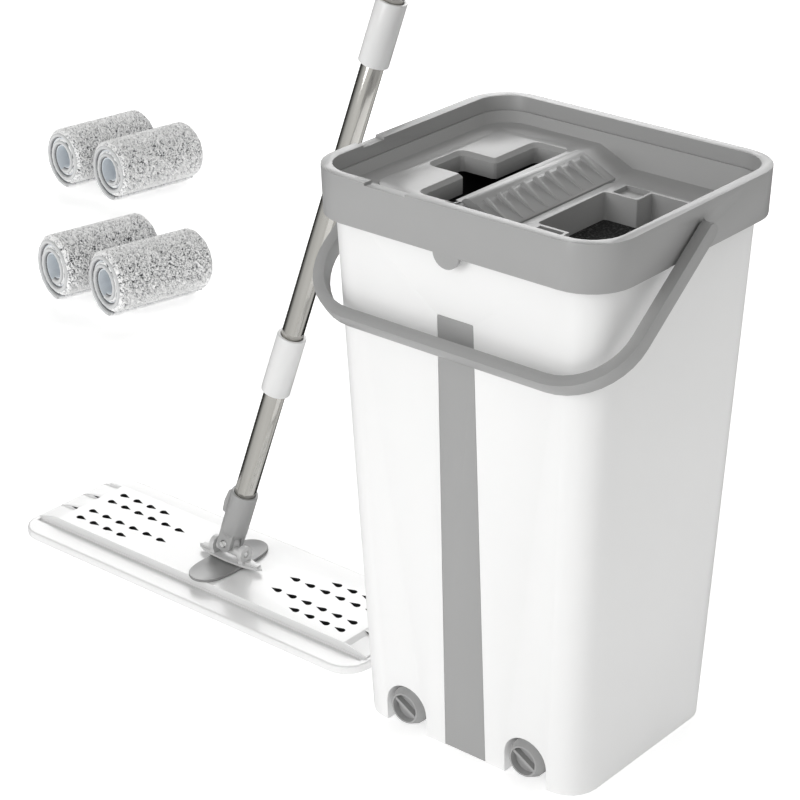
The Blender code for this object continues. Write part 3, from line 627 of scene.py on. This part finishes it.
def areaLight(name, place, size, power):
    data = bpy.data.lights.new(name, "AREA")
    data.shape = "DISK"
    data.size = size
    data.energy = power
    lamp = bpy.data.objects.new(name, data)
    lamp.location = bucket + Vector(place)
    lamp.rotation_mode = "QUATERNION"
    lamp.rotation_quaternion = (studio["aim"] - Vector(place)).to_track_quat("-Z", "Y")
    lamp.visible_camera = False
    bpy.context.scene.collection.objects.link(lamp)


for name, (place, size, power) in lights.items():
    areaLight(name, place, size, power)


def makeWorld():
    world = bpy.data.worlds.new("studio")
    world.use_nodes = True
    tree = world.node_tree
    direction = tree.nodes.new("ShaderNodeTexCoord").outputs["Generated"]
    towardCamera = Vector((shot["back"].x, shot["back"].y, 0.0)).normalized()
    toTheRight = Vector((shot["right"].x, shot["right"].y, 0.0)).normalized()

    def along(vector):
        node = tree.nodes.new("ShaderNodeVectorMath")
        node.operation = "DOT_PRODUCT"
        tree.links.new(direction, node.inputs[0])
        node.inputs[1].default_value = vector
        return node.outputs["Value"]

    angle = tree.nodes.new("ShaderNodeMath")
    angle.operation = "ARCTAN2"
    tree.links.new(along(toTheRight), angle.inputs[0])
    tree.links.new(along(towardCamera), angle.inputs[1])
    share = tree.nodes.new("ShaderNodeMapRange")
    share.inputs["From Min"].default_value = -math.pi
    share.inputs["From Max"].default_value = math.pi
    tree.links.new(angle.outputs[0], share.inputs["Value"])
    bands = tree.nodes.new("ShaderNodeValToRGB")
    stops = [(0.0, 0.6), (0.03, 0.02), (0.15, 0.06), (0.25, 0.60), (0.40, 0.80), (0.55, 0.75), (0.66, 0.45),
             (0.84, 0.75), (0.88, 0.02), (0.97, 0.02), (1.0, 0.6)]
    ramp = bands.color_ramp
    while len(ramp.elements) < len(stops):
        ramp.elements.new(0.5)
    for stop, (at, tone) in zip(ramp.elements, stops):
        stop.position = at
        stop.color = (tone, tone, tone * studio["warmth"], 1.0)
    tree.links.new(share.outputs["Result"], bands.inputs["Fac"])
    room = tree.nodes["Background"]
    tree.links.new(bands.outputs["Color"], room.inputs["Color"])
    room.inputs["Strength"].default_value = studio["ambient"] / studio["meanBand"]
    backdrop = tree.nodes.new("ShaderNodeBackground")
    backdrop.inputs["Color"].default_value = (1.0, 1.0, 1.0, 1.0)
    backdrop.inputs["Strength"].default_value = studio["backdrop"]
    mix = tree.nodes.new("ShaderNodeMixShader")
    path = tree.nodes.new("ShaderNodeLightPath")
    tree.links.new(path.outputs["Is Camera Ray"], mix.inputs["Fac"])
    tree.links.new(room.outputs["Background"], mix.inputs[1])
    tree.links.new(backdrop.outputs["Background"], mix.inputs[2])
    tree.links.new(mix.outputs["Shader"], tree.nodes["World Output"].inputs["Surface"])
    bpy.context.scene.world = world


makeWorld()
bpy.context.scene.view_settings.view_transform = "Standard"

unselect()
bpy.ops.mesh.primitive_plane_add(size=studio["floorWidth"], location=(0.0, 0.0, -studio["floorDrop"]))
floor = bpy.context.active_object
floor.name = "floor"
floorFinish = Shader("floor_paint", (studio["floorWhite"],) * 3, 0.9, Emission_Color=(1.0, 1.0, 1.0, 1.0),
                     Emission_Strength=studio["floorGlow"])
floor.data.materials.append(floorFinish.material)
floor.visible_glossy = False
print("studio ready")
